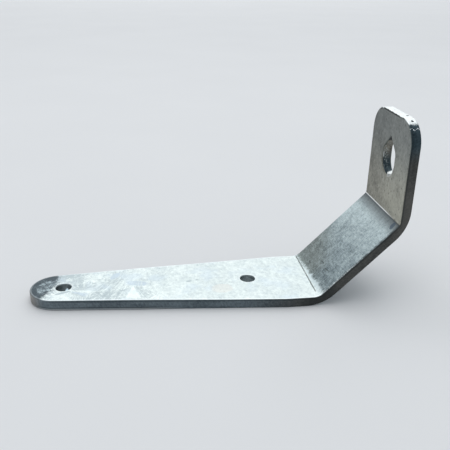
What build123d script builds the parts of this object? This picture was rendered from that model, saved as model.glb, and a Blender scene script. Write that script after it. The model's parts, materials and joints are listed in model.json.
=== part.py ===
"""Bent flat-bar bracket: a tapered foot, an inclined middle leg and an upright leg, in one piece.

The foot runs along +X from its tip, with the bar's width along Y and its underside on Z = 0. The origin
is on the underside, midway between the two bolt holes. Leg lengths are measured along the outer faces,
between the sharp corners that those faces would meet in without their bend radii. Millimetres.
"""

from build123d import *
import math
import os

# Bar: 5 mm flat bar under its zinc coat, with edges softened by the coat
bar_width = 50.0
bar_thickness = 5.3
edge_rounding = 0.5

# Legs
foot_length = 154.0
middle_length = 60.0
upright_length = 55.0

# Bends: tight where the punch pressed, and drawn out to a wide curve on the outside
lower_bend_angle = 45.0
lower_bend_inner_radius = 8.0
lower_bend_outer_radius = 21.0
upper_bend_angle = 45.0
upper_bend_inner_radius = 3
upper_bend_outer_radius = 21.0

# Foot outline: a round tip that widens along straight edges to the full bar
tip_width = 28.0
taper_length = 135.0

# Bolt holes in the foot
bolt_hole_diameter = 8.4
tip_hole_inset = 17.5
bolt_hole_spacing = 100.0

# Slot in the upright: round at the bottom, straight sides, and a point at the top
slot_width = 16.0
slot_side_length = 6.0
slot_point_angle = 90.0
slot_shoulder_radius = 4.0
slot_top_inset = 12.0

# Top corners of the upright
top_corner_radius = 13.0

# The foot's tip lies beyond the first bolt hole, and the upright is turned up by both bends together
tip_x = -bolt_hole_spacing / 2 - tip_hole_inset
upright_angle = lower_bend_angle + upper_bend_angle

# How far cutting tools reach past the bar
clear = bar_thickness


def along(angle):
    """Unit direction in the side view, turned up from +X."""
    return Vector(math.cos(math.radians(angle)), math.sin(math.radians(angle)))


def mitre(corner, angle_before, bend_angle):
    """The inner face's corner that faces the outer face's corner across the bar."""
    inward = along(angle_before + 90) * bar_thickness
    back = along(angle_before) * bar_thickness * math.tan(math.radians(bend_angle / 2))
    return corner + inward - back


def side_view():
    """Corners of the side view: along the outer faces to the top, then back along the inner faces."""
    tip = Vector(tip_x, 0)
    lower = tip + along(0) * foot_length
    upper = lower + along(lower_bend_angle) * middle_length
    top = upper + along(upright_angle) * upright_length
    inner_top = top + along(upright_angle + 90) * bar_thickness
    inner_upper = mitre(upper, lower_bend_angle, upper_bend_angle)
    inner_lower = mitre(lower, 0, lower_bend_angle)
    inner_tip = tip + along(90) * bar_thickness
    return tip, lower, upper, top, inner_top, inner_upper, inner_lower, inner_tip


def bent_bar():
    """The bar at its full width, with its side view's corners rounded to the bend radii."""
    corners = side_view()
    radii = {
        1: lower_bend_outer_radius,
        2: upper_bend_outer_radius,
        5: upper_bend_inner_radius,
        6: lower_bend_inner_radius,
    }
    section = make_face(Polyline(*corners, close=True))
    for index, radius in radii.items():
        corner = section.vertices().sort_by_distance(corners[index])[0]
        section = fillet(corner, radius)
    return extrude(Plane.XZ * section, amount=bar_width / 2, both=True)


def foot_outline():
    """Plan of the whole bar: a round tip, tangent edges out to the full width, and straight from there."""
    tip_radius = tip_width / 2
    tip = Pos(tip_x + tip_radius, 0) * Circle(tip_radius)
    taper_end_x = tip_x + taper_length
    reach = foot_length + middle_length + upright_length - taper_length
    full_width = Pos(taper_end_x + reach / 2, 0) * Rectangle(reach, bar_width)
    return make_hull(tip.edges() + full_width.edges())


def upright_plane():
    """Frame on the upright's outer face: origin at the middle of its top edge, local Y towards the top."""
    top = side_view()[3]
    up = along(upright_angle)
    return Plane(origin=(top.X, 0, top.Y), x_dir=(0, 1, 0), z_dir=(up.Y, 0, -up.X))


def slot_outline():
    """The slot's shape, hung from the middle of the upright's top edge."""
    half = slot_width / 2
    point = -slot_top_inset
    shoulder = point - half / math.tan(math.radians(slot_point_angle / 2))
    round_centre = shoulder - slot_side_length
    sides = Polyline(
        (0, point),
        (half, shoulder),
        (half, round_centre),
        (-half, round_centre),
        (-half, shoulder),
        close=True,
    )
    house = make_face(sides)
    shoulders = house.vertices().group_by(Axis.Y)[1]
    return fillet(shoulders, slot_shoulder_radius) + Pos(0, round_centre) * Circle(half)


def bolt_holes():
    """Cylinders through the foot, half the spacing to each side of the origin."""
    hole = Pos(0, 0, bar_thickness / 2) * Cylinder(bolt_hole_diameter / 2, bar_thickness + 2 * clear)
    return [Pos(side * bolt_hole_spacing / 2, 0, 0) * hole for side in (-1, 1)]


def is_bend_line(edge):
    """Whether the edge is one of the straight lines, across the whole bar, where a bend starts or ends."""
    return edge.geom_type == GeomType.LINE and math.isclose(edge.length, bar_width)


def rims(bar):
    """Edges all round the inner and outer faces and round their holes, without the bend lines."""
    broad_faces = [face for face in bar.faces() if any(map(is_bend_line, face.edges()))]
    return [edge for face in broad_faces for edge in face.edges() if not is_bend_line(edge)]


def bracket():
    """The finished piece: bent bar, foot outline, top corners, slot, holes, then softened edges."""
    bar = bent_bar()
    bar &= extrude(foot_outline(), amount=bar.bounding_box().max.Z)
    across_upright = Axis((0, 0, 0), upright_plane().z_dir)
    top_corners = bar.edges().filter_by(across_upright).sort_by(Axis.Z)[-2:]
    bar = fillet(top_corners, top_corner_radius)
    bar -= extrude(upright_plane() * slot_outline(), amount=bar_thickness + clear, both=True)
    bar -= bolt_holes()
    return fillet(rims(bar), edge_rounding)


os.makedirs("parts", exist_ok=True)
part = bracket()
part.label = "bracket"
export_step(part, "parts/bracket.step")
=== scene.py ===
# %% [markdown]
# # A bent bracket of galvanised flat bar
#
# The real bracket is one piece of 5 mm flat bar. A press trims one end to a round tip, punches two
# bolt holes and a pointed slot, and bends the bar twice by 45 degrees. It is then dipped in molten
# zinc, which freezes into crystals, rounds every edge a little and leaves a few drops behind.
#
# The solid model is loaded first, as a frame that nothing may outgrow. The skin is then built the way
# the bracket is made: a flat blank is drawn, given its holes, and bent.

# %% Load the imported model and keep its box
import json
import math

import bmesh
import bpy
import numpy as np
from mathutils import Matrix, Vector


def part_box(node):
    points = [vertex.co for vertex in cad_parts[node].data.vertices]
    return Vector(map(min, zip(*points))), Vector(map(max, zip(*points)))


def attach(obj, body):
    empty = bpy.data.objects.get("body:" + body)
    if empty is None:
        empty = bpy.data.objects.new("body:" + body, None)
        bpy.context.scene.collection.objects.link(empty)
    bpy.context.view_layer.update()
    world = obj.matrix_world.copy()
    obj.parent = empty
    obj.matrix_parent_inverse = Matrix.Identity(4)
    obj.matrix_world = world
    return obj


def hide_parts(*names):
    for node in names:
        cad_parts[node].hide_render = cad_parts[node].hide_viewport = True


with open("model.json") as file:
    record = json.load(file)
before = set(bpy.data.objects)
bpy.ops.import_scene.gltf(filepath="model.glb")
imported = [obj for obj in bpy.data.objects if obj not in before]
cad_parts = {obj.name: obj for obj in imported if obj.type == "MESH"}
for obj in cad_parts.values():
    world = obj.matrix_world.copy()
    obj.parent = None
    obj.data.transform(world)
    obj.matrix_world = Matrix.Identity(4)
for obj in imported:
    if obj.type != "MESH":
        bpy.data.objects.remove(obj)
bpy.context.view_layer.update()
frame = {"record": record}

MM = 0.001
low, high = (np.array(corner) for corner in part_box("bracket"))
mounts = {mount["name"]: mount for mount in frame["record"]["mounts"]}
tip_hole_x, heel_hole_x = (mounts[name]["pos_m"][0] for name in ("tip_hole", "heel_hole"))
hole_radius = mounts["tip_hole"]["dims"]["r_mm"] * MM
print("CAD box in mm:", (low / MM).round(2), (high / MM).round(2))

# %% [markdown]
# ## The side view
#
# Seen from the side, the bar has two lines: the outer faces, which stretch round a bend, and the
# inner faces, which are squeezed into a tighter one. Each line has its own straight runs and arcs, so
# the inside of a bend can be nearly sharp while its outside is round, as a press leaves it.
#
# A stretch of path with a steady turn has a chord of known length and heading, so one formula places
# a point on a straight run and on an arc alike.

# %% Sizes of the bar and its two lines
bar_width = high[1] - low[1]
bar_thickness = 5.3 * MM
edge_rounding = 0.5 * MM
foot_length = 154 * MM
middle_length = 60 * MM
upright_length = 55 * MM
bend_angles = np.radians([45, 45])
inner_radii = np.array([8, 3]) * MM
outer_radii = np.array([21, 21]) * MM
tip_hole_inset = 17.5 * MM
tip_x = tip_hole_x - tip_hole_inset


def way(heading):
    """Steps of length 1 along headings: cos and sin."""
    return np.stack([np.cos(heading), np.sin(heading)], -1)


def path_pieces(start, heading, lengths, turns):
    """The starts, headings, lengths and turns of a path's pieces, laid end to end from a start point. Each
    ends a chord away from its start, as in follow."""
    headings = heading + np.concatenate([[0], np.cumsum(turns)[:-1]])
    chords = np.array(lengths) * np.sinc(np.array(turns) / (2 * np.pi))
    hops = chords[:, None] * way(headings + np.array(turns) / 2)
    starts = np.array(start) + np.concatenate([[[0, 0]], np.cumsum(hops, 0)[:-1]])
    return starts, headings, np.array(lengths), np.array(turns)


def follow(path, distance):
    """Points at distances along a path: the start of the piece + a chord of d * sin(t / 2) / (t / 2), whose
    heading is the piece's + t / 2. Here d is the distance into the piece and t the turn so far."""
    starts, headings, lengths, turns = path
    ends = np.cumsum(lengths)
    piece = np.minimum(np.searchsorted(ends, distance), len(lengths) - 1)
    into = distance - (ends - lengths)[piece]
    turned = turns[piece] * into / lengths[piece]
    chord = into * np.sinc(turned / (2 * np.pi))
    return starts[piece] + chord[..., None] * way(headings[piece] + turned / 2)


half_tangents = np.tan(bend_angles / 2)
mould_lengths = np.array([foot_length, middle_length, upright_length])


def bent_line(height, legs, radii):
    """One line of the side view as five pieces: three legs, cut short by the arcs' tangents, and two arcs."""
    tangents = radii * half_tangents
    runs = legs - np.array([tangents[0], tangents.sum(), tangents[1]])
    arcs = radii * bend_angles
    lengths = [runs[0], arcs[0], runs[1], arcs[1], runs[2]]
    return path_pieces((tip_x, height), 0.0, lengths, [0, bend_angles[0], 0, bend_angles[1], 0])


squeeze = bar_thickness * half_tangents
outer_line = bent_line(0.0, mould_lengths, outer_radii)
inner_legs = mould_lengths - np.array([squeeze[0], squeeze.sum(), squeeze[1]])
inner_line = bent_line(bar_thickness, inner_legs, inner_radii)

# Each bend's zone is what faces the outer arc: on the inner line, its arc and a short straight each side.
slack = outer_radii * half_tangents - squeeze - inner_radii * half_tangents
zone_lengths = inner_radii * bend_angles + 2 * slack
outer_marks = np.concatenate([[0], np.cumsum(outer_line[2])])
inner_marks = outer_marks.copy()
inner_marks[2:] += zone_lengths[0] - outer_line[2][1]
inner_marks[4:] += zone_lengths[1] - outer_line[2][3]
bend_1, bend_2 = inner_marks[1:3], inner_marks[3:5]
blank_length = inner_marks[-1]
crease_into_bend = 5.8 * MM
lower_crease = bend_1[0] + crease_into_bend
upper_crease = bend_2.mean()
print("blank", round(blank_length / MM, 2), "mm long, bends at", (inner_marks / MM).round(2))
print("top of the inner line, in mm:", (follow(inner_line, blank_length) / MM).round(3))

# %% [markdown]
# ## The flat blank
#
# The outline is cut and the holes are punched while the bar is flat, and so they are here: every
# point of the skin has a distance along the bar, a distance across it, and a depth, which is 0 on the
# outer face and 1 on the inner one.
#
# A square grid would leave a ragged rim round a hole, so the blank is cut into five patches: a ruled
# one round each hole, whose rows run from the rim to the patch's border, and plain grids between
# them. Patches share the points of their borders, so the seams close when they are merged.

# %% Outline and holes of the blank
tip_radius = 14 * MM
taper_length = 135 * MM
top_corner_radius = 13 * MM
slot_half_width = 8 * MM
slot_side = 6 * MM
slot_shoulder_radius = 4 * MM
slot_top_inset = 12 * MM
tip_hole_s = tip_hole_inset
heel_hole_s = heel_hole_x - tip_x
outline_steps = 3000

taper_run = np.array([taper_length - tip_radius, bar_width / 2])
taper_angle = math.atan2(taper_run[1], taper_run[0]) - math.asin(tip_radius / np.hypot(*taper_run))
face_tip_radius = tip_radius - edge_rounding
taper_start = tip_radius - face_tip_radius * math.sin(taper_angle)
face_end = blank_length - edge_rounding


def face_half_width(s):
    """Half the flat face's width: the line that touches the tip's circle at the taper's angle, up to the
    full width."""
    taper = (face_tip_radius + (s - tip_radius) * math.sin(taper_angle)) / math.cos(taper_angle)
    return np.minimum(taper, bar_width / 2 - edge_rounding)


def arc(centre, radius, start, end, count):
    """count + 1 points of a circle round a centre, from one angle to another."""
    return np.array(centre) + radius * way(np.linspace(start, end, count + 1))


def steps(start, end, spacing):
    """Even steps from start to end, both included, and none longer than the spacing."""
    return np.linspace(start, end, math.ceil((end - start) / spacing) + 1)


def spread(count, lip):
    """count + 1 numbers from 0 to 1, even apart from a narrow first and last step."""
    return np.concatenate([[0], np.linspace(lip, 1 - lip, count - 1), [1]])


def slot_loop(grow):
    """The slot's outline, grown by a distance into the metal: from its point down one side, round the bottom
    and up the other side, as seven pieces of path."""
    shoulder = slot_shoulder_radius * math.tan(math.pi / 8)
    roof = slot_half_width * math.sqrt(2) - shoulder + grow
    straight = slot_side - shoulder
    eighth = (slot_shoulder_radius + grow) * math.pi / 4
    half_turn = (slot_half_width + grow) * math.pi
    start = (blank_length - slot_top_inset + grow * math.sqrt(2), 0)
    lengths = [roof, eighth, straight, half_turn, straight, eighth, roof]
    turns = [0, math.pi / 4, 0, math.pi, 0, math.pi / 4, 0]
    path = path_pieces(start, 0.75 * math.pi, lengths, turns)
    return follow(path, np.linspace(0, sum(lengths), outline_steps))


def angles_of(centre, loop):
    """The angle of each point of a loop, seen from a centre."""
    return np.arctan2(loop[:, 1] - centre[1], loop[:, 0] - centre[0])


def seen_from(centre, loop, angles):
    """Where rays from a centre, at the given angles, cross a loop that runs once round it from angle 0."""
    around = np.unwrap(angles_of(centre, loop))
    wrapped = np.mod(angles, 2 * np.pi)
    return np.stack([np.interp(wrapped, around, loop[:, axis]) for axis in (0, 1)], -1)


print("taper angle", round(math.degrees(taper_angle), 2), "degrees")
print("holes at", round(tip_hole_s / MM, 2), "and", round(heel_hole_s / MM, 2), "mm from the tip")

# %% Patches of the blank
grid = 1.0 * MM
leg_grid = 0.6 * MM
fine_grid = 0.4 * MM
nick_grid = 0.2 * MM
columns = 46
rim_rows = 14
tip_steps = 44
front_corner_steps = 60
back_corner_steps = 24
width_steps = 2 * spread(columns, 0.004) - 1
tip_patch_end = tip_hole_s + 18.5 * MM
heel_patch = heel_hole_s - 20 * MM, heel_hole_s + 20 * MM
slot_patch_start = blank_length - 42 * MM
slot_middle = blank_length - 24 * MM
top_corner_s = blank_length - top_corner_radius


def cut(s):
    """A straight line of points across the face, from the front edge to the back one."""
    return np.stack([np.full(len(width_steps), s), width_steps * face_half_width(s)], 1)


def flank(stations, sign):
    """Points along one edge of the face: sign -1 is the front one, 1 the back one."""
    return np.stack([stations, sign * face_half_width(stations)], 1)


def ring(*runs):
    """Runs of points laid end to end, each shared end kept once, with the first point again at the end."""
    loop = np.concatenate([run[:-1] for run in runs])
    return np.concatenate([loop, loop[:1]])


def ruled(inner, outer, count):
    """Rows of points from an inner loop to an outer one: inner + t * (outer - inner), with t from 0 to 1."""
    t = spread(count, 0.015)[:, None, None]
    return inner + t * (outer - inner)


def plain(stations):
    """A grid of cuts across the face, one at each station."""
    return np.stack([cut(s) for s in stations])


tip_side = steps(taper_start, tip_patch_end, grid)
foot_side = steps(tip_patch_end, heel_patch[0], grid)
heel_side = steps(*heel_patch, grid)
nick_places = np.array([165.0, 173.9]) * MM
nick_reach = 0.9 * MM
bent_side = np.unique(np.concatenate([
    steps(heel_patch[1], bend_1[0], grid),
    steps(*bend_1, fine_grid),
    lower_crease + np.array([-0.3, -0.15, 0, 0.15, 0.3]) * MM,
    steps(bend_1[1], bend_2[0], leg_grid),
    *(steps(place - nick_reach, place + nick_reach, nick_grid) for place in nick_places),
    steps(*bend_2, fine_grid),
    steps(bend_2[1], slot_patch_start, grid),
]).round(9))
top_side = steps(slot_patch_start, top_corner_s, grid)
tip_turn = math.pi / 2 + taper_angle, 1.5 * math.pi - taper_angle
tip_arc = arc((tip_radius, 0), face_tip_radius, *tip_turn, tip_steps)
corner_centre = top_corner_radius - bar_width / 2
corner_face_radius = top_corner_radius - edge_rounding
front_centre, back_centre = (top_corner_s, corner_centre), (top_corner_s, -corner_centre)
front_corner = arc(front_centre, corner_face_radius, -math.pi / 2, 0, front_corner_steps)
back_corner = arc(back_centre, corner_face_radius, 0, math.pi / 2, back_corner_steps)
top_across = steps(corner_centre, -corner_centre, fine_grid)
top_edge = np.stack([np.full(len(top_across), face_end), top_across], 1)

tip_flanks = flank(tip_side, 1)[::-1], tip_arc, flank(tip_side, -1)
top_corners = front_corner, top_edge, back_corner
tip_loop = ring(cut(tip_patch_end), *tip_flanks)
heel_start, heel_end = (cut(s) for s in heel_patch)
heel_loop = ring(flank(heel_side, -1), heel_end, flank(heel_side, 1)[::-1], heel_start[::-1])
top_loop = ring(flank(top_side, -1), *top_corners, flank(top_side, 1)[::-1], cut(slot_patch_start)[::-1])

face_hole = hole_radius + edge_rounding
hole_rims = {}
patches = [plain(foot_side), plain(bent_side)]
for hole, middle_s, loop in (("tip", tip_hole_s, tip_loop), ("heel", heel_hole_s, heel_loop)):
    hole_rims[hole] = np.array([middle_s, 0]) + face_hole * way(angles_of((middle_s, 0), loop))
    patches.append(ruled(hole_rims[hole], loop, rim_rows))
slot_angles = angles_of((slot_middle, 0), top_loop)
hole_rims["slot"] = seen_from((slot_middle, 0), slot_loop(edge_rounding), slot_angles)
patches.append(ruled(hole_rims["slot"], top_loop, rim_rows))

long_side = np.unique(np.concatenate([foot_side, heel_side, bent_side, top_side]).round(9))
outline = ring(flank(long_side, -1), *top_corners, flank(long_side, 1)[::-1], *tip_flanks)
print(len(patches), "patches,", len(outline), "points round the outline")

# %% [markdown]
# ## Edges of the blank
#
# The coat of zinc rounds every sheared edge. Each one, round the outline, the bolt holes and the slot
# alike, is a profile carried along a loop: a quarter circle, the wall, and another quarter circle. It
# starts on the very points where the face stops. In the holes and the slot, a coat on the wall makes
# the opening a little narrower.

# %% Carry the edge's profile along the loops
corner_rows = 5
wall_rows = 13
hole_coats = {"tip": 0.1 * MM, "heel": 0.1 * MM, "slot": 0.3 * MM}


def edge_profile():
    """How far out and how far down each row of an edge lies."""
    turn = np.linspace(0, math.pi / 2, corner_rows)
    quarter_out = edge_rounding * np.sin(turn)
    quarter_down = edge_rounding * (1 - np.cos(turn))
    wall = edge_rounding + (bar_thickness - 2 * edge_rounding) * spread(wall_rows, 0.03)[1:-1]
    out = np.concatenate([quarter_out, np.full(len(wall), edge_rounding), quarter_out[::-1]])
    down = np.concatenate([quarter_down, wall, bar_thickness - quarter_down[::-1]])
    return out, down


def outward(loop):
    """Steps of length 1 out of the metal, from a closed loop that has the metal on its left. At a corner
    they are longer, to keep the edge's width: the sum of the two sides' normals over 1 + their product."""
    sides = np.diff(loop, axis=0)
    tangent = sides / np.linalg.norm(sides, axis=1, keepdims=True)
    normal = np.stack([tangent[:, 1], -tangent[:, 0]], 1)
    before = np.roll(normal, 1, 0)
    mitre = (before + normal) / (1 + (before * normal).sum(1, keepdims=True))
    return np.concatenate([mitre, mitre[:1]])


def edge_band(loop, coat=0.0):
    """The edge along a loop, with a coat on its wall: blank points, their depths, and an inset of 0."""
    out, down = edge_profile()
    points = loop + (1 + coat / edge_rounding) * out[:, None, None] * outward(loop)
    depth = np.broadcast_to((1 - down / bar_thickness)[:, None], points.shape[:2])
    return points, depth, np.zeros(depth.shape)


def inset_of(patch):
    """How far each point of a patch lies from the nearest point of any edge of the face."""
    rims = np.concatenate([outline, *hole_rims.values()])
    offset = patch[..., None, :] - rims
    return np.hypot(offset[..., 0], offset[..., 1]).min(-1)


surfaces = []
for patch in patches:
    inset = inset_of(patch)
    surfaces.append((patch, np.ones(inset.shape), inset))
    surfaces.append((patch[:, ::-1], np.zeros(inset.shape), inset[:, ::-1]))
surfaces.append(edge_band(outline))
for hole, rim in hole_rims.items():
    surfaces.append(edge_band(rim[::-1], hole_coats[hole]))
print(len(surfaces), "surfaces,", sum(depth.size for _, depth, _ in surfaces), "points")

# %% [markdown]
# ## Wear and waviness, then the bends
#
# A real bar isn't as true as a drawing. Its faces swell and sink by a few hundredths of a millimetre,
# its edges wander, and it narrows a little where a bend stretches it. The press leaves a groove where
# it held the foot, and handling leaves nicks and pits. The tip left the bath last, so its coat is
# thicker, and a run of zinc froze along the foot's lower front edge.
#
# All of that is a change of the blank's three coordinates. Bending comes last: a point lies between
# the two lines of the side view, at its own depth.

# %% Bumps and hills
def near(distance, width):
    """A smooth bump of height 1 and the given width: the bell curve exp(-(distance / width)^2)."""
    return np.exp(-((distance / width) ** 2))


def ramp(x, start, end):
    """0 before start, 1 after end, and t^2 * (3 - 2 t) between them, with t from 0 to 1."""
    t = np.clip((x - start) / (end - start), 0, 1)
    return t * t * (3 - 2 * t)


def hills(s, v, size, seed, waves=9):
    """Soft hills from -1 to 1, always the same for one seed: twice the mean of plane waves with random
    headings, phases and lengths, cut off at -1 and 1."""
    rng = np.random.default_rng(seed)
    heading, phase = rng.uniform(0, 2 * np.pi, (2, waves))
    pitch = 2 * np.pi / (size * rng.uniform(0.7, 1.6, waves))
    travel = s[..., None] * np.cos(heading) + v[..., None] * np.sin(heading)
    return np.clip(np.cos(pitch * travel + phase).mean(-1) * 2, -1, 1)


# %% Make the blank uneven
face_sink = 0.035 * MM
hill_sizes = 22 * MM, 7 * MM
edge_wander = 0.06 * MM
edge_hill_size = 11 * MM
edges_apart = 31 * MM
bend_waist = 0.25 * MM
groove_depth = 0.16 * MM
groove_width = 0.2 * MM
groove_starts = -21 * MM, -17 * MM
tip_coat = 0.45 * MM
tip_coat_grows = 120 * MM, 50 * MM
tip_wear = 0.02 * MM
tip_wear_reach = 3 * MM
run_swell = 0.45 * MM
run_starts = 4 * MM, 18 * MM
run_ends = 84 * MM, 55 * MM
run_depth, run_height = 0.1, 0.09
# Each dent is its place along and across, its depth, its push and its size.
nicks = [(place, -25 * MM, 0.97, (0, 0.5 * MM), 0.5 * MM) for place in nick_places]
pits = [
    (258.9 * MM, -16.4 * MM, 0.45, (-0.6 * MM, 0.2 * MM), 0.5 * MM),
    (259.7 * MM, -8 * MM, 0.28, (-0.4 * MM, 0), 0.35 * MM),
]


def dented(points, depth, dents):
    """Blank points pushed in at dents: each moves the points round it by push * bump of their distance."""
    for s, v, at_depth, push, size in dents:
        offset = np.stack([points[..., 0] - s, points[..., 1] - v, (depth - at_depth) * bar_thickness], -1)
        points = points + near(np.linalg.norm(offset, axis=-1), size)[..., None] * np.array(push)
    return points


def roughened(points, depth):
    """The blank's points and depths with uneven faces, wandering edges, a worn tip with a thick coat, a waist
    at each bend, a groove, a run of zinc and dents."""
    s, v = points[..., 0], points[..., 1]
    reach = np.clip(np.abs(v) / face_half_width(np.maximum(s, taper_start)), 0, 1) ** 4
    waist = sum(near(s - zone.mean(), 0.4 * np.ptp(zone)) for zone in (bend_1, bend_2)) * (1 - depth)
    loss = edge_wander * (1 + hills(s, np.sign(v) * edges_apart, edge_hill_size, 3)) / 2 + bend_waist * waist
    run = near(depth - run_depth, run_height) * ramp(s, *run_starts) * ramp(s, *run_ends) * (v < 0)
    worn = s + tip_wear * near(s, tip_wear_reach)
    moved = np.stack([worn, v - np.sign(v) * reach * (loss - run_swell * run)], -1)
    swell = 0.6 * hills(s, v, hill_sizes[0], 1) + 0.4 * hills(s, v, hill_sizes[1], 2)
    sink = face_sink * (1 + swell) / 2
    groove = groove_depth * near(s - lower_crease, groove_width) * ramp(v, *groove_starts)
    coat = tip_coat * ramp(s, *tip_coat_grows)
    sunk = depth + ((1 - 2 * depth) * sink + depth**4 * (coat - groove)) / bar_thickness
    return dented(moved, depth, nicks + pits), sunk


# %% Bend the blank
seam_gap = 0.001 * MM


def bend(points, depth):
    """Blank points and depths as places in the room: depth * inner line + (1 - depth) * outer line."""
    s = points[..., 0]
    inner = follow(inner_line, s)
    outer = follow(outer_line, np.interp(s, inner_marks, outer_marks))
    side_view = depth[..., None] * inner + (1 - depth)[..., None] * outer
    return np.stack([side_view[..., 0], points[..., 1], side_view[..., 1]], -1)


def placed(name, data):
    """A new object in the scene that shows a mesh, a lamp or a camera."""
    thing = bpy.data.objects.new(name, data)
    bpy.context.scene.collection.objects.link(thing)
    return thing


def mesh_of(name, shapes, maps):
    """One closed mesh from grids of points: neighbours make a quad, shared borders are merged, and each
    face corner keeps its place in the named maps."""
    vertices = np.concatenate([shape.reshape(-1, 3) for shape in shapes])
    quads = []
    first = 0
    for shape in shapes:
        index = first + np.arange(shape[..., 0].size).reshape(shape.shape[:2])
        corners = index[:-1, :-1], index[1:, :-1], index[1:, 1:], index[:-1, 1:]
        quads.append(np.stack(corners, -1).reshape(-1, 4))
        first += index.size
    quads = np.concatenate(quads)
    mesh = bpy.data.meshes.new(name)
    mesh.from_pydata(vertices.tolist(), [], quads.tolist())
    for map_name, values in maps.items():
        flat = np.concatenate([value.reshape(-1, value.shape[-1]) for value in values])
        layer = mesh.uv_layers.new(name=map_name)
        layer.data.foreach_set("uv", flat[quads.ravel()].astype(np.float32).ravel())
    shell = bmesh.new()
    shell.from_mesh(mesh)
    bmesh.ops.remove_doubles(shell, verts=shell.verts, dist=seam_gap)
    bmesh.ops.recalc_face_normals(shell, faces=shell.faces)
    open_edges = sum(not edge.is_manifold for edge in shell.edges)
    volume = shell.calc_volume(signed=True) / MM**3
    shell.to_mesh(mesh)
    shell.free()
    mesh.shade_smooth()
    print(name, len(mesh.polygons), "faces,", open_edges, "open edges,", round(volume, 1), "cubic mm")
    return placed(name, mesh)


shapes, blank_map, edge_map = [], [], []
for points, depth, inset in surfaces:
    moved, sunk = roughened(points, depth)
    shapes.append(bend(moved, sunk))
    blank_map.append(points)
    edge_map.append(np.stack([inset, depth], -1))
bar = mesh_of("galvanised_bar", shapes, {"blank": blank_map, "edge": edge_map})
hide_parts("bracket")
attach(bar, "root")

# %% [markdown]
# ## Drops of zinc
#
# Zinc that runs off last freezes in drops. One is a small tooth in the tip's bolt hole, and a row of
# beads crosses the rounded front corner at the top. A drop is a circle carried along an axis, with a
# radius that falls to nothing at both ends.

# %% Drops on the hole and the corner
drop_rows = 13
drop_columns = 17
# A direction that no drop's axis has.
off_axis = 0.02, 0, 1


def drop(place, axis, length, radius, point=0.0, flatness=1.0):
    """A closed drop round a place. Along its axis it lies at -length / 2 * cos(t), and its radius is
    radius * sin(t) * ((1 + cos(t)) / 2)^point, with t from 0 to pi: point 0 is an egg, and 1 ends in a tooth.
    Flatness is its height over its width."""
    t = np.linspace(0, math.pi, drop_rows)[:, None]
    turn = np.linspace(0, 2 * math.pi, drop_columns)[None, :]
    axis = np.array(axis) / np.linalg.norm(axis)
    side = np.cross(axis, off_axis)
    side /= np.linalg.norm(side)
    ring_radius = radius * np.sin(t) * ((1 + np.cos(t)) / 2) ** point
    ways = np.cos(turn)[..., None] * side + flatness * np.sin(turn)[..., None] * np.cross(axis, side)
    return np.array(place) - length / 2 * np.cos(t)[..., None] * axis + ring_radius[..., None] * ways


tooth_radius = 1.6 * MM
tooth_depth = 0.95
tooth_line = np.array([tip_hole_s, 0]) + np.array([[2.3, -5.0], [1.9, 0.1]]) * MM
tooth_root, tooth_end = bend(tooth_line, np.full(2, tooth_depth))
tooth_way = tooth_end - tooth_root
tooth_length = np.linalg.norm(tooth_way)
tooth = drop((tooth_root + tooth_end) / 2, tooth_way, tooth_length, tooth_radius, point=0.7, flatness=0.45)

bead_line = np.array(front_centre) + top_corner_radius * way(-math.pi / 4)
bead_depths = np.array([0.96, 0.80, 0.67, 0.56, 0.36, 0.23, 0.12])
bead_sizes = np.array([0.22, 0.17, 0.30, 0.22, 0.20, 0.32, 0.24]) * MM
bead_shifts = np.array([0.2, 0.5, -0.2, -0.5, 0.2, 0.5, -0.1]) * MM
bead_places = bend(bead_line + bead_shifts[:, None] * way(math.pi / 4), bead_depths)
bead_axis = 0.3, 0.6, 1
bead_stretch = 2.4
beads = [drop(spot, bead_axis, bead_stretch * size, size) for spot, size in zip(bead_places, bead_sizes)]
drops = [mesh_of("zinc_tooth", [tooth], {}), mesh_of("zinc_beads", beads, {})]
for piece in drops:
    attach(piece, "root")

# %% [markdown]
# ## Reading a pattern off the metal
#
# A material is a sum of many small patterns, and two small classes let it be written as one. A Wire
# is a socket that can be added and multiplied like a number: each such step adds a Math node. A
# Finish is a material with one method that makes any other node, and short names for common ones.

# %% Wires and finishes
def named(sockets, key):
    """The socket with a given number, name or identifier."""
    if isinstance(key, int):
        return sockets[key]
    return next(socket for socket in sockets if key in (socket.identifier, socket.name))


def maths_step(operation, reflected=False):
    """A method that puts a wire, and what it is combined with, through a Math node."""
    def step(wire, *others):
        terms = (*others, wire) if reflected else (wire, *others)
        return wire.finish.maths(operation, *terms)

    return step


class Wire:
    """A value or a colour on its way through a material. Arithmetic on values adds Math nodes."""

    def __init__(self, finish, node, output):
        self.finish = finish
        self.made_by = node
        self.socket = named(node.outputs, output)

    def other(self, output):
        """Another output of the node that made this one."""
        return Wire(self.finish, self.made_by, output)

    __add__ = __radd__ = maths_step("ADD")
    __mul__ = __rmul__ = maths_step("MULTIPLY")
    __sub__ = maths_step("SUBTRACT")
    __rsub__ = maths_step("SUBTRACT", reflected=True)
    __truediv__ = maths_step("DIVIDE")
    __pow__ = maths_step("POWER")
    __abs__ = maths_step("ABSOLUTE")


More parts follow.
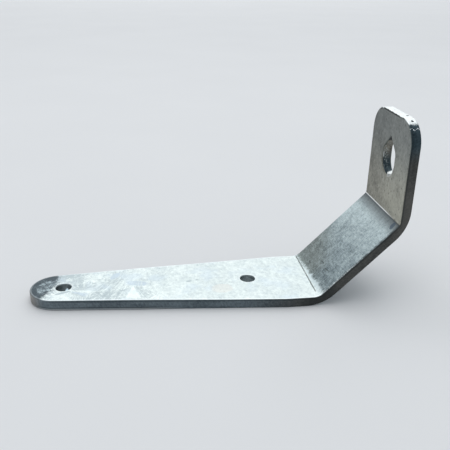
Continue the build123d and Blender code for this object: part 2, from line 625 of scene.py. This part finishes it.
class Finish:
    """A material of nodes, made from nothing, with plain values on the shader's own sockets."""

    def __init__(self, name, **plain):
        self.material = bpy.data.materials.new(name)
        self.material.use_nodes = True
        self.tree = self.material.node_tree
        self.tree.nodes.clear()
        self.shader = self.tree.nodes.new("ShaderNodeBsdfPrincipled")
        output = self.tree.nodes.new("ShaderNodeOutputMaterial")
        self.tree.links.new(self.shader.outputs[0], output.inputs[0])
        for key, value in plain.items():
            self.shader.inputs[key.replace("_", " ").title()].default_value = value

    def feed(self, socket, value):
        """Links a wire to a socket, or sets the socket to a number, vector or colour."""
        if isinstance(value, Wire):
            self.tree.links.new(value.socket, socket)
        else:
            socket.default_value = value

    def node(self, kind, settings=None, sockets=None, output=0):
        """A node of any kind: its settings first, then its sockets by name or identifier."""
        node = self.tree.nodes.new(kind)
        for key, value in (settings or {}).items():
            setattr(node, key, value)
        for key, value in (sockets or {}).items():
            self.feed(named(node.inputs, key), value)
        return Wire(self, node, output)

    def maths(self, operation, *terms):
        """A Math node of the given operation on one, two or three values."""
        return self.node("ShaderNodeMath", {"operation": operation}, dict(enumerate(terms)))

    def surface(self, **wires):
        """Feeds wires to the shader's sockets."""
        for key, value in wires.items():
            self.feed(self.shader.inputs[key.replace("_", " ").title()], value)

    def tint(self, factor, first, second):
        """A colour between two others, each a wire or three numbers."""
        first, second = (tone if isinstance(tone, Wire) else (*tone, 1) for tone in (first, second))
        sockets = {"Factor_Float": factor, "A_Color": first, "B_Color": second}
        return self.node("ShaderNodeMix", {"data_type": "RGBA"}, sockets, "Result_Color")

    def fade(self, value, start, end):
        """0 where the value is start, 1 where it is end, smooth between them and flat beyond."""
        sockets = {"Value": value, "From Min": start, "From Max": end}
        return self.node("ShaderNodeMapRange", {"interpolation_type": "SMOOTHSTEP"}, sockets)

    def vectors(self, operation, first, second=(0, 0, 0), output=0):
        """A Vector Math node of the given operation on one or two vectors."""
        sockets = {"Vector": first, "Vector_001": second}
        return self.node("ShaderNodeVectorMath", {"operation": operation}, sockets, output)

    def stretched(self, vector, by):
        """A pattern's vector, multiplied along each axis."""
        return self.vectors("MULTIPLY", vector, by)

    def shifted(self, vector, by):
        """A pattern's vector, moved by another."""
        return self.vectors("ADD", vector, by)

    def xyz(self, x, y, z):
        """A vector from three values."""
        return self.node("ShaderNodeCombineXYZ", {}, {"X": x, "Y": y, "Z": z})

    def noise(self, vector, scale=1.0, detail=3.0, roughness=0.5, output="Fac"):
        """Cloudy noise between about 0.2 and 0.8."""
        sockets = {"Vector": vector, "Scale": scale, "Detail": detail, "Roughness": roughness}
        return self.node("ShaderNodeTexNoise", {}, sockets, output)

    def cells(self, vector, scale, output="Distance", feature="F1", dimensions="2D"):
        """Random cells, one for each crystal or speck."""
        settings = {"feature": feature, "voronoi_dimensions": dimensions}
        return self.node("ShaderNodeTexVoronoi", settings, {"Vector": vector, "Scale": scale}, output)


print("wires and finishes ready")

# %% [markdown]
# ## The zinc
#
# Hot zinc freezes from scattered points. From each one a crystal grows in feathers until it meets its
# neighbours: that is spangle. Here it is large and pale along the foot, which cooled slowly, finer and
# greyer on the middle leg, and drawn into short streaks on the upright, where the coat is thin, warm
# in tone and pitted.
#
# The pattern is laid out on the flat blank, in millimetres, so it runs along the bar and round both
# bends. A crystal is a Voronoi cell. The way from its seed to a point, cut to length 1, is the same all
# along a feather, so noise that reads that heading draws feathers that fan out from the seed.
#
# Every tone is two colours mixed by a value, which is a sum of patterns. Marks are then laid over it,
# like coats of paint, each with a share from 0 to 1.

# %% Where on the bar
zinc = Finish("zinc_coat", metallic=0.85)
fade, tint, noise, cells, maths = zinc.fade, zinc.tint, zinc.noise, zinc.cells, zinc.maths
xyz, stretched, shifted = zinc.xyz, zinc.stretched, zinc.shifted
blank = stretched(zinc.node("ShaderNodeUVMap", {"uv_map": "blank"}), (1 / MM, 1 / MM, 1 / MM))
along = zinc.node("ShaderNodeSeparateXYZ", {}, {"Vector": blank})
across = along.other("Y")
edge_map_place = zinc.node("ShaderNodeUVMap", {"uv_map": "edge"})
edge_place = zinc.node("ShaderNodeSeparateXYZ", {}, {"Vector": edge_map_place})
inset = edge_place / MM
depth = edge_place.other("Y")
wall_height = bar_thickness / MM
down_wall = depth * wall_height
layers = xyz(along, across, 8 * down_wall)
metal = xyz(along, across, down_wall)
crease_at, fold_start, fold_at = lower_crease / MM, bend_2[0] / MM, upper_crease / MM


# %% Spangle
def spangle(crystal, spokes):
    """Feathers that fan out from the seeds of crystals, given their size in mm, and their brightness."""
    wobble = noise(blank, scale=0.4 / crystal, detail=2, output="Color")
    warped = shifted(blank, stretched(shifted(wobble, (-0.5,) * 3), (1.4 * crystal,) * 3))
    seeds = cells(warped, 1 / crystal, "Position")
    heading = zinc.vectors("NORMALIZE", zinc.vectors("SUBTRACT", warped, seeds))
    drift = stretched(warped, (0.35 / crystal,) * 3)
    turned = shifted(stretched(heading, (spokes, spokes, 0)), drift)
    feathers = noise(turned, detail=4, roughness=0.65)
    return feathers, zinc.node("ShaderNodeSeparateColor", {}, {"Color": seeds.other("Color")}, "Green")


foot_feathers, foot_crystals = spangle(9, 9.0)
leg_feathers, leg_crystals = spangle(2.4, 2.2)
tip_feathers, tip_crystals = spangle(3.2, 5.0)
clouds = noise(layers, scale=0.11, detail=4)
blotches = noise(layers, scale=0.4)
grit = noise(layers, scale=1.5, roughness=0.7)
frost = noise(stretched(layers, (0.55, 0.33, 1)), detail=5, roughness=0.75)


# %% Crystals that stand out
def from_place(place):
    """How far each point of the skin lies from a place: a distance along, one across and a depth."""
    s, v, at_depth = place
    return zinc.vectors("DISTANCE", metal, (s, v, at_depth * wall_height), "Value")


def toward(place, heading):
    """How far each point of the blank lies ahead and to the left of someone at a place who looks along a
    heading in degrees: the offset turned back by that heading."""
    turn = math.radians(heading)
    ways = (math.cos(turn), math.sin(turn)), (-math.sin(turn), math.cos(turn))
    return [(along - place[0]) * x + (across - place[1]) * y for x, y in ways]


def fan(place, heading, opening, reach, ribs=0.0):
    """One crystal that opens from a place along a heading: 1 inside its angle and its reach. With ribs, it is
    combed by noise that reads the angle, which is straight along every ray."""
    ahead, left = toward(place, heading)
    angle = maths("ARCTAN2", left, ahead)
    half = math.radians(opening) / 2
    inside = fade(abs(angle), half, half - 0.12) * fade(ahead, reach, 0.75 * reach) * fade(ahead, 0, 1.2)
    if not ribs:
        return inside
    comb = noise(xyz(angle * ribs, ahead * 0.06, place[0]), roughness=0.6)
    return inside * fade(comb, 0.45, 0.58)


def patch_of(place, heading, half_length, half_width, ribs=0.0):
    """An oval crystal at a place, with its length along a heading: 1 in its middle, 0 at its border. With
    ribs, it is combed across its length."""
    ahead, left = toward(place, heading)
    beyond = (ahead / half_length) ** 2 + (left / half_width) ** 2 + 0.6 * (blotches - 0.5)
    inside = fade(beyond, 1.1, 0.7)
    if not ribs:
        return inside
    comb = noise(xyz(ahead * ribs, left * 0.15, place[0]), detail=2)
    return inside * (0.45 + 0.55 * fade(comb, 0.42, 0.58))


def layered(tone, *coats):
    """A tone under coats, each of which is a share and the tone that it lays over those below."""
    for share, coat_tone in coats:
        tone = tint(share, tone, coat_tone)
    return tone


white_crystals = sum([
    fan((54.3, -2.6), -90, 40, 15),
    0.8 * fan((17, -2), -25, 28, 18),
    0.6 * fan((30, 12), -160, 24, 14),
])
dark_ribs = sum([
    0.8 * fan((55.2, -2.8), -58, 46, 15, 16.0),
    0.8 * fan((54, -3.6), 215, 22, 8),
    fan((61.6, 38.1), -112.4, 24, 76, 95.0) * fade(across, 10, 4),
])
blue_crystals = sum([
    patch_of((56.8, 0.0), -14, 6.5, 2.8, 1.1),
    patch_of((44.6, 9.5), 60, 4.5, 2.0),
    fan((21, -5), -28, 26, 12),
])
dark_strokes = sum([
    patch_of((17.6, -6.4), 22, 4.6, 0.9),
    patch_of((11.8, -4.8), -50, 2.4, 0.5),
    0.8 * patch_of((31.7, -0.7), 40, 0.6, 0.5),
    0.5 * patch_of((84.8, -0.4), 10, 1.6, 0.8),
    0.4 * patch_of((89.0, 0.6), 10, 1.0, 0.6),
])
print("crystals placed,", len(zinc.tree.nodes), "nodes so far")

# %% [markdown]
# ### Foot
#
# The foot is the palest face. Its crystals show most near the tip, and farther on they blur into soft
# blue-white and grey-white clouds. The end beyond the first hole came out of the bath last: its coat is
# thick, dull and dark, with a ragged border.

# %% Tone of the foot
near_tip = fade(along, 95, 45)
needles = fade(foot_feathers, 0.40, 0.60)
foot_value = 0.53 - 0.06 * fade(along, 50, 28)
foot_value += near_tip * (0.5 * (needles - 0.5) + 0.25 * (foot_crystals - 0.5))
foot_value += 0.5 * (clouds - 0.5) + 1.5 * (frost - 0.5) + 0.6 * (blotches - 0.5)
foot_value += 0.5 * white_crystals - 0.4 * dark_ribs - 1.3 * dark_strokes
behind_hole = fade(across, 1, 6) * fade(along, 36, 15)
beside_hole = fade(abs(along - 24), 8, 3) * fade(abs(across + 3), 7, 2)
foot_value -= behind_hole * (0.45 + 2.5 * (leg_feathers - 0.5))
foot_value -= beside_hole * (0.25 + 1.5 * (leg_feathers - 0.5))
cold = fade(noise(layers, scale=0.07, detail=2), 0.5, 0.68)
foot_tone = layered(
    tint(foot_value, (0.40, 0.47, 0.49), (0.80, 0.87, 0.845)),
    (0.75 * blue_crystals, (0.45, 0.54, 0.61)),
    (0.5 * patch_of((102, -10), 5, 6, 5), (0.66, 0.66, 0.62)),
    (0.35 * cold, (0.52, 0.62, 0.70)),
)
print("foot toned")

# %% Dull coat of the tip
from_hole = from_place((tip_hole_s / MM, 0, 1))
ragged = along - 0.45 * maths("MINIMUM", across, 3) + 6 * (blotches - 0.5) + 9 * (grit - 0.5)
dull_tip = fade(ragged, 14.4, 10.8)
dull_value = 0.04 + 0.5 * fade(from_hole, 12, 6) - 0.22 * fade(inset, 3.5, 1)
dull_value += 2.1 * (tip_feathers - 0.5) + 0.35 * (tip_crystals - 0.5)
dull_value += 1.0 * (blotches - 0.5) + 1.2 * (grit - 0.5)
light_streaks = sum([
    0.6 * patch_of((7.3, 5.0), 35, 3.8, 1.2, 1.0),
    0.4 * patch_of((5.6, -3.8), 70, 2.6, 1.2, 1.2),
    0.45 * patch_of((10.2, -2.2), 15, 3.4, 1.0, 0.9),
    0.35 * patch_of((9.6, 8.6), 25, 3.0, 0.9, 1.1),
])
hatching = fade(noise(xyz(along - 0.9 * across, 0, 0)), 0.42, 0.58)
hatched = patch_of((11, 10.3), 15, 5, 2.6) * hatching
rings = noise(xyz(from_hole * 1.2, across * 0.25, 0), detail=2)
ripples = fade(rings, 0.46, 0.6) * fade(from_hole, 9, 8) * fade(along, 14, 12)
dark_mark = patch_of((7.2, -8.0), 20, 2.0, 1.0)
dull_value += light_streaks - 0.8 * dark_mark - 0.9 * hatched - 0.7 * ripples
foot_tone = layered(
    foot_tone,
    (dull_tip, tint(dull_value, (0.035, 0.055, 0.068), (0.42, 0.515, 0.55))),
    (0.55 * ripples * fade(across, -5, -2), (0.14, 0.18, 0.2)),
)
print("tip toned")

# %% [markdown]
# ### Middle leg and upright
#
# The middle leg is mottled with small crystals, browner low at the back, and painted shade darkens it towards
# the upper bend. The upright is a warm grey, drawn into short streaks along the bar, and cooler at its top.
# The foot's pale tone is carried a little way up the first bend as a painted highlight on the inside of the
# bend, and ends there in brush-like strokes.

# %% Tone of the middle leg
weft = noise(stretched(layers, (1.5, 0.4, 1)), detail=4, roughness=0.7)
warp = noise(stretched(layers, (0.4, 1.5, 1)), detail=4, roughness=0.7)
leg_value = 0.26 + 0.35 * (leg_feathers - 0.5) + 0.1 * (leg_crystals - 0.5) + 0.52 * fade(along, 165, 200)
leg_value += 1.5 * (weft - 0.5) + 1.5 * (warp - 0.5) + 0.7 * (clouds - 0.5)
wandering = shifted(blank, stretched(noise(blank, 0.3, output="Color"), (5, 5, 5)))
veins = cells(wandering, 0.14, feature="DISTANCE_TO_EDGE")
leg_value += 0.2 * fade(veins, 0.07, 0.02) * fade(along, 185, 165)
brown_patch = fade(along - 0.45 * across, 176, 155) * (0.25 + 0.75 * fade(across, -12, 3))
brown_tone = tint(leg_value + 0.12, (0.08, 0.1, 0.097), (0.36, 0.415, 0.405))
leg_tone = layered(
    tint(leg_value, (0.10, 0.138, 0.155), (0.46, 0.545, 0.56)),
    (brown_patch, brown_tone),
    # Painted shade: the leg darkens towards the upper bend.
    (0.9 * fade(along, fold_start - 3.6, fold_at + 0.2), (0.055, 0.064, 0.068)),
)
print("middle leg toned")

# %% Tone of the upright
drawn = noise(stretched(layers, (0.5, 1.3, 1)), detail=6, roughness=0.75)
end_value = 0.5 + 1.8 * (drawn - 0.5) + 0.9 * (clouds - 0.5) + 1.0 * (grit - 0.5) + 0.6 * (blotches - 0.5)
end_value -= 0.012 * across
warm_tone = tint(end_value, (0.145, 0.14, 0.112), (0.47, 0.46, 0.385))
cool_tone = tint(end_value, (0.08, 0.09, 0.086), (0.265, 0.28, 0.264))
end_tone = tint(fade(along, 212, 252), warm_tone, cool_tone)
print("upright toned")

# %% From face to face
# Painted highlight: the foot's pale tone is carried a little way round the inside of the first bend, ending
# in strokes, and just past the crease it is tinted blue-grey.
strokes = noise(xyz(along * 0.12, across * 0.8, 0), roughness=0.6)
highlight_end = along + 0.05 * across + 2 * (blotches - 0.5) + 7 * (strokes - 0.5)
smear = fade(along, 158, 153) * fade(across, -9, -16) * fade(warp, 0.42, 0.56)
foot_to_leg = fade(highlight_end, crease_at + 1.3, crease_at + 3.1) * (1 - 0.6 * smear)
past_crease = fade(along, crease_at + 0.2, crease_at + 1.2) * fade(strokes, 0.62, 0.48)
foot_tone = tint(0.55 * past_crease, foot_tone, (0.42, 0.51, 0.54))
leg_to_end = fade(along, fold_at - 0.3, fold_at + 0.3)
face_tone = tint(leg_to_end, tint(foot_to_leg, foot_tone, leg_tone), end_tone)
print("faces joined at", round(crease_at, 1), "and", round(fold_at, 1), "mm")

# %% [markdown]
# ### Marks of the press
#
# The press tool leaves a groove where it held the foot, darkened with painted shade, and a painted highlight
# runs along the sharp inside of the upper bend.
# Small pits show where dross or gas broke the coat. Rims on the foot carry a painted highlight where zinc
# rounds them, and on the middle leg they are darker, with a few painted glints.

# %% Creases, scratches and pits
broken = 0.55 + 0.45 * fade(blotches, 0.38, 0.5)
# Painted shade: a dark line along the press groove at the first bend.
crease_shade = fade(abs(along - crease_at + 0.5 * (blotches - 0.5)), 0.45, 0.2) * broken * fade(across, -21, -18)
specked = fade(grit, 0.48, 0.56) * fade(abs(along - crease_at - 2.2), 2.6, 1.4) * fade(across, 4, 12)
# Painted highlight: a thin bright line along the sharp inside of the upper bend.
fold_highlight = fade(abs(along - fold_at), 0.36, 0.22) * fade(across, -19, -3)
scratches = sum([
    patch_of((163.0, -1.2), 95, 2.4, 0.35),
    patch_of((162.4, -9.2), 100, 2.6, 0.4),
    patch_of((156.6, 9), 80, 1.6, 0.3),
])
pit_spacing = 2.4
pit_cells = cells(stretched(blank, (0.6, 1, 1)), 1 / pit_spacing)
pit_draw = zinc.node("ShaderNodeSeparateColor", {}, {"Color": pit_cells.other("Color")}, "Blue")
pitting = fade(pit_cells, 0.17, 0.09) * fade(pit_draw, 0.62, 0.7)
print("pits in cells of", pit_spacing, "mm")

# %% Rims, and all marks on the faces
inner_edge = fade(abs(across), 12, 10.5) * fade(along, 12, 13)
# Painted highlight along the foot's rounded rims; darker rims on the middle leg, with painted glints on its
# front rim.
rim_highlight = fade(inset, 0.6, 0.3) * (1 - foot_to_leg) * (1 - 0.7 * inner_edge) * (1 - 0.6 * dull_tip)
dark_rim = fade(inset, 0.9, 0.5) * foot_to_leg * (1 - leg_to_end) * fade(across, -18, -22)
dark_rim *= fade(blotches, 0.35, 0.55)
rim_glints = fade(inset, 0.7, 0.4) * fade(grit, 0.5, 0.58) * fade(across, -20, -23)
rim_glints *= fade(along, 153, 156) * fade(along, 182, 176)
face_tone = layered(
    face_tone,
    (0.9 * crease_shade, (0.09, 0.11, 0.105)),
    (0.8 * specked, (0.14, 0.17, 0.16)),
    (fold_highlight, (0.94, 0.95, 0.93)),
    (0.75 * scratches, (0.05, 0.06, 0.06)),
    (0.7 * patch_of((204.2, -20.5), 20, 2.4, 1.6), (0.03, 0.055, 0.085)),
    (pitting * (0.15 + 0.6 * leg_to_end), (0.045, 0.05, 0.045)),
    (0.5 * rim_highlight, (0.85, 0.92, 0.93)),
    (0.75 * dark_rim, (0.06, 0.075, 0.08)),
    (0.9 * rim_glints, (0.8, 0.86, 0.87)),
)
print("marks laid on the faces")

# %% [markdown]
# ### Edges
#
# A sheared edge takes a thinner, duller coat with fine marks across it. It is bluish on the foot,
# nearly black in the bends and beside the middle leg, and blue-black at the top, and painted shade darkens it
# further at the first bend. Under the foot's front edge, a dark line over the run of zinc is painted shade
# and a bright line below it is a painted reflection; a second dark line runs just under the top rim.

# %% Tone of the outer edge
edge_share = fade(abs(depth - 0.5) + 0.06 * inner_edge, 0.495, 0.45)
shear = noise(xyz(along + 0.5 * down_wall, across, 0.3 * down_wall), scale=1.6, detail=4, roughness=0.7)
speckle = noise(metal, scale=0.9, detail=4, roughness=0.75)
bands = noise(layers, scale=0.06, detail=2)
edge_value = 0.5 + 1.2 * (shear - 0.5) + 1.6 * (speckle - 0.5) + 1.0 * (bands - 0.5)
edge_value += 0.25 * fade(along, 35, 12)
under_rim = fade(abs(depth - 0.86), 0.10, 0.03) * fade(along, 6, 14)
on_run = fade(along, 3, 9) * fade(along, 84, 60)
edge_tone = layered(
    tint(edge_value, (0.06, 0.08, 0.095), (0.20, 0.245, 0.27)),
    (fade(along, 105, 150), tint(edge_value, (0.033, 0.036, 0.035), (0.108, 0.108, 0.101))),
    (fade(along, 238, 250), tint(edge_value, (0.012, 0.024, 0.032), (0.07, 0.105, 0.125))),
    (fade(along, 9, 0.5), tint(edge_value, (0.14, 0.135, 0.13), (0.33, 0.32, 0.30))),
    (0.35 * fade(abs(along - 213), 18, 5), (0.13, 0.127, 0.117)),
    # Painted shade: the edge darkens nearly to black at the first bend.
    (0.62 * fade(abs(along - 152), 14, 3), (0.022, 0.028, 0.029)),
    (0.5 * under_rim, (0.02, 0.028, 0.03)),
    # Painted shade: a dark line just over the run of zinc; below it, a bright line is a painted reflection.
    (0.6 * on_run * fade(abs(depth - 0.25), 0.07, 0.02), (0.03, 0.038, 0.04)),
    (on_run * fade(depth, 0.2, 0.13), (0.34, 0.36, 0.37)),
)
print("outer edge toned")

# %% Tone inside the holes and the slot
on_wall = fade(inset, 0.2, 0.05)
tip_hole_shade = fade(along, tip_hole_s / MM + 1, tip_hole_s / MM - 2.5)
hole_tone = layered(
    tint(edge_value, (0.13, 0.16, 0.165), (0.55, 0.62, 0.64)),
    (0.65 * tip_hole_shade, (0.05, 0.062, 0.068)),
)
slot_cells = cells(metal, 1.1, dimensions="3D")
slot_specks = fade(slot_cells, 0.40, 0.22) * fade(abs(along - 236), 9, 5) * fade(depth, 0.2, 0.6)
slot_tone = layered(
    tint(edge_value, (0.016, 0.028, 0.036), (0.10, 0.14, 0.155)),
    (fade(along, 230, 240), tint(edge_value, (0.06, 0.056, 0.047), (0.40, 0.38, 0.325))),
    # Painted shade: the slot's pointed end, whose wall faces down, is darkened nearly to black.
    (0.95 * fade(along, 243.2, 244.4), (0.022, 0.026, 0.028)),
    (0.8 * slot_specks, (0.42, 0.47, 0.46)),
)
wall_tone = tint(inner_edge, edge_tone, tint(leg_to_end, hole_tone, slot_tone))
# Painted highlight: a pale band along the top of the bolt holes' walls.
hole_lip_highlight = on_wall * inner_edge * (1 - leg_to_end) * fade(depth, 0.88, 0.94)
tone = layered(face_tone, (edge_share, wall_tone), (0.25 * hole_lip_highlight, (0.84, 0.91, 0.92)))
print("openings toned")

# %% [markdown]
# ### Painted highlights where an edge faces up
#
# Where an edge faces up, on top of the upright and at the bottom of the slot, it is painted near white as a
# painted highlight, with a painted glint on the slot's wall. On the top edge the highlight ends in a torn,
# dark line along the face, and two pits and a dot of zinc break it.

# %% Painted highlights on the top edge and in the slot
# Painted highlights: a glint high on the slot's wall, the slot's floor and the top edge of the upright, all
# painted near white.
in_slot = on_wall * inner_edge * leg_to_end
slot_glint = in_slot * fade(abs(along - 235.3), 1.9, 1.2) * fade(abs(depth - 0.88), 0.07, 0.03)
slot_glint *= fade(across, 3, 5)
slot_floor_highlight = in_slot * fade(along, 229.6, 228.9) * fade(across + 1.8 * depth, 4.2, 3.4)
slot_floor_highlight *= fade(depth + 0.08 * across, 0.94, 0.86) * (0.3 + 0.7 * fade(across, -0.5, 0.5))
ragged_end = 2 * (blotches - 0.5) + speckle - 0.5
top_bright = fade(along + inset + ragged_end, 257.5, 258.3) * fade(depth, 0.01, 0.06)
lip = 0.5 * (blotches - 0.5) + 0.3 * (grit - 0.5)
past_lip = inset + down_wall - wall_height - lip
top_edge_highlight = top_bright * fade(past_lip, 0, -0.15)
torn_line = top_bright * fade(abs(past_lip - 0.25), 0.4, 0.25) * fade(across, -14, -4)
top_pits = sum(fade(from_place((s / MM, v / MM, at_depth)), 0.95, 0.55) for s, v, at_depth, *_ in pits)
highlit = maths("MAXIMUM", maths("MAXIMUM", slot_floor_highlight, 0.6 * slot_glint), top_edge_highlight)
highlit_tone = tint(0.8 + 1.6 * (speckle - 0.5), (0.40, 0.42, 0.42), (0.88, 0.92, 0.92))
tone = layered(
    tone,
    (highlit, tint(0.7 * slot_floor_highlight, highlit_tone, (0.97, 1, 0.99))),
    (torn_line * fade(grit, 0.34, 0.42), (0.01, 0.012, 0.011)),
    (fade(from_place((259.1, 14.5, 0.98)), 0.7, 0.4), (0.88, 0.92, 0.92)),
    (0.95 * top_pits, (0.015, 0.018, 0.018)),
)
print("gathered zinc toned")

# %% The shader
roughness = 0.38 + 0.2 * (grit - 0.5) + 0.12 * (foot_feathers - 0.5) + 0.06 * edge_share
height = 0.4 * foot_feathers + 0.5 * leg_feathers + 0.8 * grit + 0.5 * frost - 1.5 * pitting
bump = zinc.node("ShaderNodeBump", {}, {"Strength": 0.35, "Distance": 0.05 * MM, "Height": height})
zinc.surface(base_color=tone, roughness=roughness, normal=bump)
bar.data.materials.append(zinc.material)
print("zinc coat:", len(zinc.tree.nodes), "nodes")

# %% [markdown]
# ### Fresh drops
#
# A drop froze fast and thick, so it stays smoother and whiter than the coat round it, with a faint
# grain. The one on the foot is bluer.

# %% Finish of the drops
fresh = Finish("fresh_zinc", metallic=0.85)
drop_place = fresh.node("ShaderNodeTexCoord", {}, {}, "Object")
fresh_grain = fresh.noise(drop_place, scale=1.8 / MM, detail=4, roughness=0.6)
fresh_bump = fresh.node("ShaderNodeBump", {}, {"Strength": 0.2, "Distance": 0.04 * MM, "Height": fresh_grain})
fresh_tone = fresh.tint(fresh.fade(fresh_grain, 0.3, 0.7), (0.62, 0.70, 0.74), (0.93, 0.95, 0.95))
along_foot = fresh.node("ShaderNodeSeparateXYZ", {}, {"Vector": drop_place})
fresh_tone = fresh.tint(0.75 * fresh.fade(along_foot, 50 * MM, 0), fresh_tone, (0.36, 0.52, 0.62))
fresh.surface(base_color=fresh_tone, roughness=0.2 + 0.2 * fresh_grain, normal=fresh_bump)
for piece in drops:
    piece.data.materials.append(fresh.material)
print("fresh zinc:", len(fresh.tree.nodes), "nodes")

# %% [markdown]
# ## Floor, light and camera
#
# Metal shows what is round it more than its own colour, so this is a small studio for silver: a large
# soft box high behind the bracket, which the foot mirrors, a smaller one overhead, a faint bluish sky,
# and a plain pale floor.

# %% Floor
floor_reach = 14.0
corners = np.array([[-1, -1], [1, -1], [1, 1], [-1, 1]]) * floor_reach
floor_mesh = bpy.data.meshes.new("floor")
floor_mesh.from_pydata([(x, y, low[2]) for x, y in corners.tolist()], [], [(0, 1, 2, 3)])
floor = placed("floor", floor_mesh)
pale = Finish("pale_floor", roughness=0.9)
pale_clouds = pale.noise(pale.node("ShaderNodeTexCoord", {}, {}, "Object"), scale=6)
pale.surface(base_color=pale.tint(pale_clouds, (0.76, 0.77, 0.78), (0.80, 0.81, 0.82)))
floor_mesh.materials.append(pale.material)


# %% Lamps and sky
def soft_box(name, place, aim, width, height, glow):
    """A rectangular lamp at a place, facing a point. Glow is the brightness of its face, where 1 is white,
    so its power is glow * pi * its area."""
    light = bpy.data.lights.new(name, "AREA")
    light.shape = "RECTANGLE"
    light.size = width
    light.size_y = height
    light.energy = glow * math.pi * width * height
    back = np.array(place) - aim
    back /= np.linalg.norm(back)
    right = np.cross((0, 0, 1), back)
    right /= np.linalg.norm(right)
    up = np.cross(back, right)
    facing = Matrix(np.stack([right, up, back], 1)).to_4x4()
    placed(name, light).matrix_world = Matrix.Translation(place) @ facing


bracket_centre = (low + high) / 2
soft_box("panel_behind", (0.3, 3.0, 2.4), bracket_centre, 5.6, 3.8, glow=1.0)
soft_box("panel_above", (0.0, 0.0, 1.6), bracket_centre, 1.4, 1.4, glow=1.3)
world = bpy.data.worlds.new("studio")
bpy.context.scene.world = world
world.use_nodes = True
sky = world.node_tree.nodes["Background"]
sky.inputs["Color"].default_value = (0.90, 0.95, 1.0, 1)
sky.inputs["Strength"].default_value = 0.5
print("two soft boxes and a sky")

# %% Camera
picture_width = 450
focal_pixels = 608.386
camera_place = np.array([-6.618, -294.803, 166.772]) * MM
# In radians, from a level view along +Y: turned to the left, tilted up, and leaned over.
turn, tilt, lean = -0.14635, -0.40766, 0.01697
level = np.array([math.cos(turn), math.sin(turn), 0])
ahead = np.array([-level[1] * math.cos(tilt), level[0] * math.cos(tilt), math.sin(tilt)])
plumb = np.cross(level, ahead)
right = math.cos(lean) * level + math.sin(lean) * plumb
up = math.cos(lean) * plumb - math.sin(lean) * level
facing = Matrix(np.stack([right, up, -ahead], 1)).to_4x4()
lens = bpy.data.cameras.new("camera")
lens.lens = focal_pixels / picture_width * lens.sensor_width
lens.clip_start = 0.01
camera = placed("camera", lens)
camera.matrix_world = Matrix.Translation(camera_place) @ facing
bpy.context.scene.camera = camera
bpy.context.scene.view_settings.view_transform = "Standard"
print("lens", round(lens.lens, 2), "mm")
